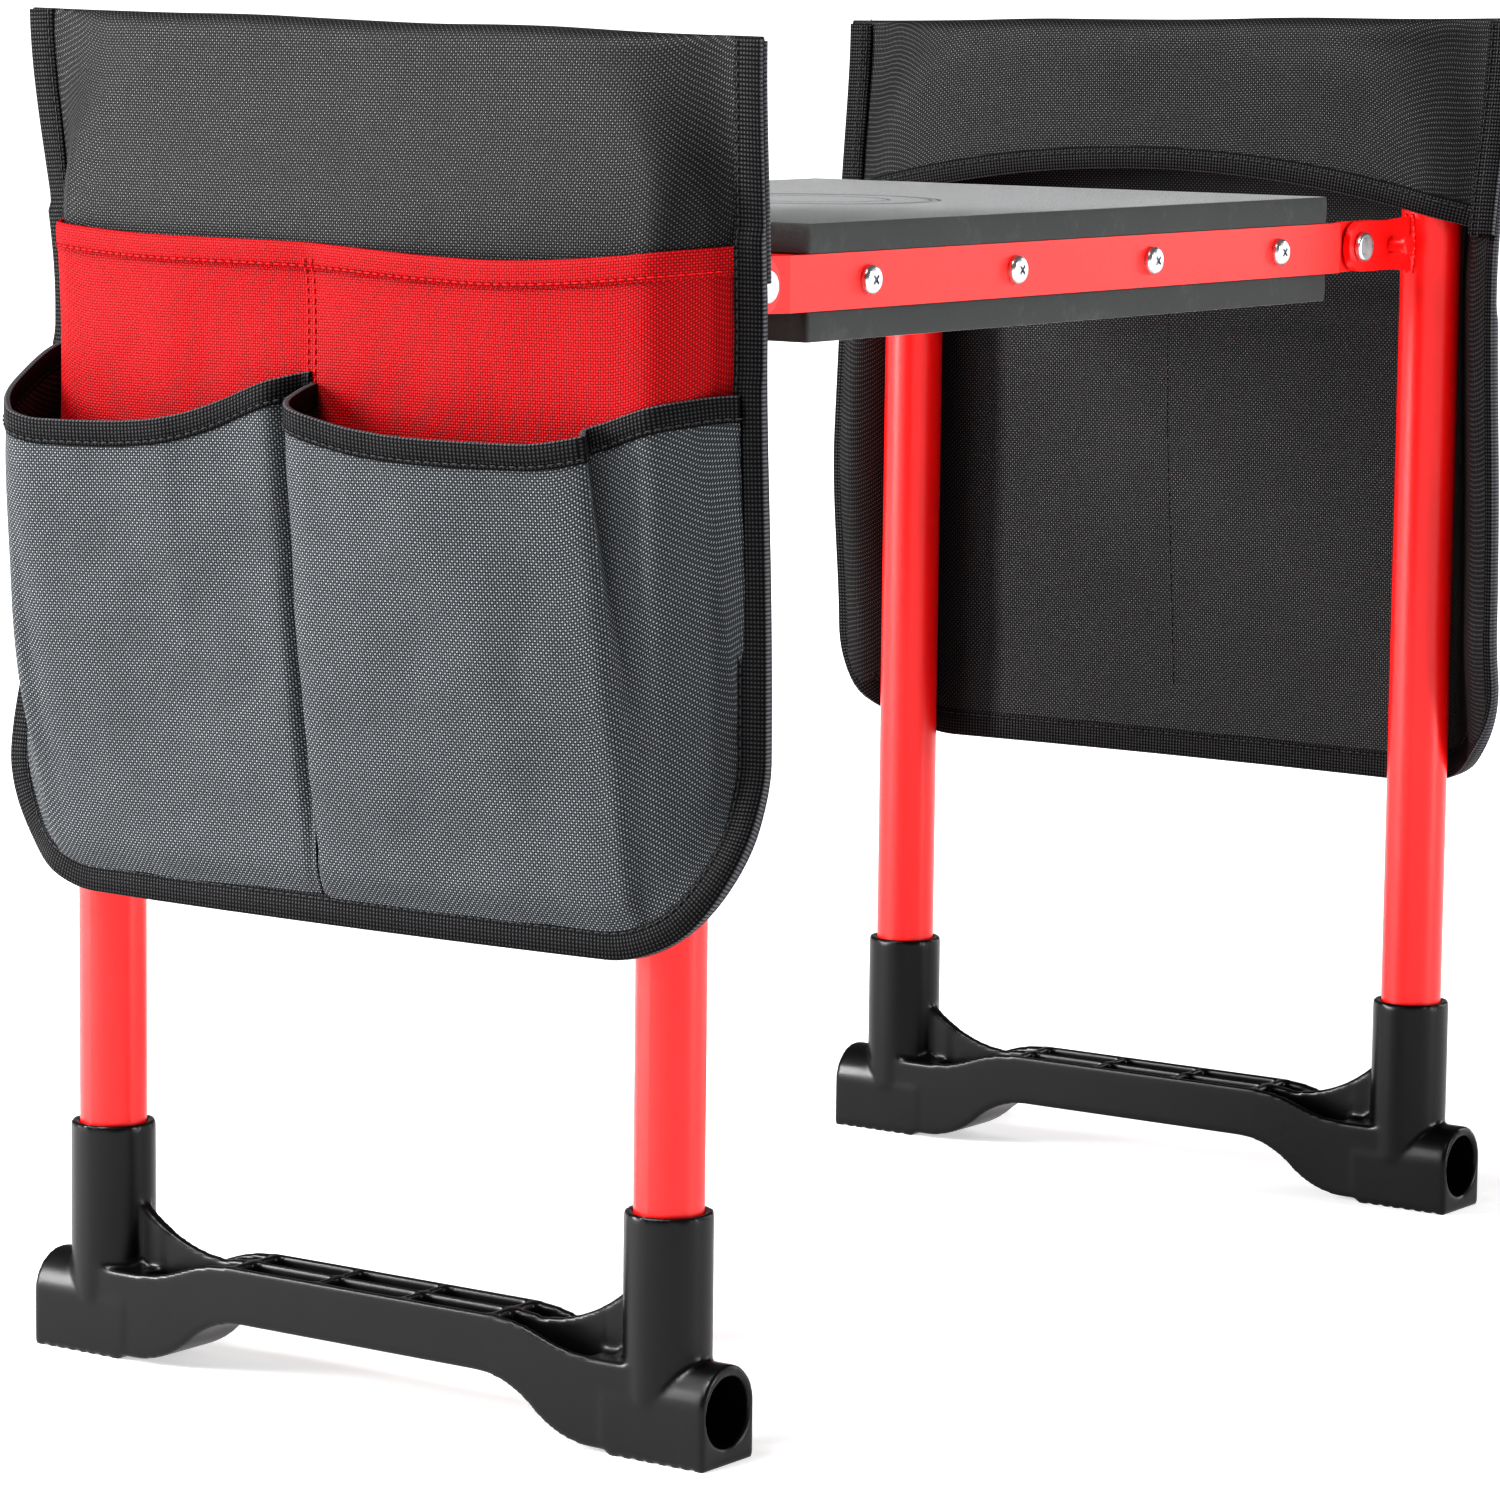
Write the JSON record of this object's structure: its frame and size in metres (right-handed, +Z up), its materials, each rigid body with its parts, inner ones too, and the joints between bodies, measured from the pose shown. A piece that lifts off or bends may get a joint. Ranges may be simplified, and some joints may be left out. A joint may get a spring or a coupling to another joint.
{
  "type": "garden kneeler seat",
  "caption": "Folding garden kneeler and seat: a foam-padded board on two U-shaped tube legs with moulded foot beams and hanging tool bags.",
  "frame": {"origin": "on the ground under the middle of the seat", "axes": "+X along the seat towards the right-hand leg, +Y across it towards the rear rail, +Z up"},
  "size_m": [0.6508, 0.33, 0.504],
  "materials": {
    "foam_top": "fine woven emboss",
    "foam_bottom": "smooth closed-cell foam",
    "core_board": "plain",
    "red_paint_rail": "semi-matte powder coat",
    "red_paint_tube": "glossy powder coat",
    "zinc_steel": "bright zinc plate",
    "black_plastic": "plain",
    "foot_plastic": "satin fine grain",
    "grip_rubber": "matte",
    "black_fabric": "coarse coated weave",
    "binding_tape": "ribbed tape",
    "red_fabric": "coarse coated weave",
    "grey_fabric": "coarse coated weave",
    "spring_steel": "black oxide wire"
  },
  "bodies": {
    "seat": {"top_pad": "foam_top", "bottom_pad": "foam_bottom", "core_board": "core_board", "front_rail": "red_paint_rail", "rear_rail": "red_paint_rail", "front_rail_screws": "zinc_steel", "rear_rail_screws": "zinc_steel", "left_end_plate": "red_paint_rail", "right_end_plate": "red_paint_rail", "left_pivot_rivets": "zinc_steel", "right_pivot_rivets": "zinc_steel", "left_pivot_washers": "black_plastic", "right_pivot_washers": "black_plastic"},
    "left_leg": {"left_leg_tube": "red_paint_tube", "left_front_bracket": "red_paint_tube", "left_rear_bracket": "red_paint_tube", "left_foot_beam": "foot_plastic", "left_front_grip_block": "grip_rubber", "left_rear_grip_block": "grip_rubber", "left_bag_outer_panel": "black_fabric", "left_bag_inner_flap": "black_fabric", "left_bag_binding": "binding_tape", "left_bag_red_pocket": "red_fabric", "left_bag_front_pockets": "grey_fabric"},
    "left_lock": {"left_lock_rod": "red_paint_tube"},
    "left_springs": {"left_front_lock_spring": "spring_steel", "left_rear_lock_spring": "spring_steel"},
    "right_leg": {"right_leg_tube": "red_paint_tube", "right_front_bracket": "red_paint_tube", "right_rear_bracket": "red_paint_tube", "right_foot_beam": "foot_plastic", "right_front_grip_block": "grip_rubber", "right_rear_grip_block": "grip_rubber", "right_bag_outer_panel": "black_fabric", "right_bag_inner_flap": "black_fabric", "right_bag_binding": "binding_tape", "right_bag_red_pocket": "red_fabric", "right_bag_front_pockets": "grey_fabric"},
    "right_lock": {"right_lock_rod": "red_paint_tube"},
    "right_springs": {"right_front_lock_spring": "spring_steel", "right_rear_lock_spring": "spring_steel"}
  },
  "joints": [
    {"name": "left_leg_fold", "type": "hinge", "parent": "seat", "child": "left_leg", "pos_m": [-0.214, 0, 0.41075], "axis": [0, -1, 0], "range_deg": [0, 92]},
    {"name": "left_lock_pull", "type": "slide", "parent": "left_leg", "child": "left_lock", "axis": [-1, 0, 0], "range_m": [0, 0.005], "stiffness_N_per_m": 900, "springref_m": -0.006},
    {"name": "left_spring_swing", "type": "hinge", "parent": "seat", "child": "left_springs", "pos_m": [-0.204, 0, 0.42075], "axis": [0, -1, 0], "range_deg": [0, 59.8]},
    {"name": "right_leg_fold", "type": "hinge", "parent": "seat", "child": "right_leg", "pos_m": [0.214, 0, 0.41075], "axis": [0, 1, 0], "range_deg": [0, 60]},
    {"name": "right_lock_pull", "type": "slide", "parent": "right_leg", "child": "right_lock", "axis": [1, 0, 0], "range_m": [0, 0.005], "stiffness_N_per_m": 900, "springref_m": -0.006},
    {"name": "right_spring_swing", "type": "hinge", "parent": "seat", "child": "right_springs", "pos_m": [0.204, 0, 0.42075], "axis": [0, 1, 0], "range_deg": [0, 39.1]}
  ],
  "couplings": [
    {"joint": "left_spring_swing", "follows": "left_leg_fold", "ratio": 0.6457},
    {"joint": "right_spring_swing", "follows": "right_leg_fold", "ratio": 0.6457}
  ]
}
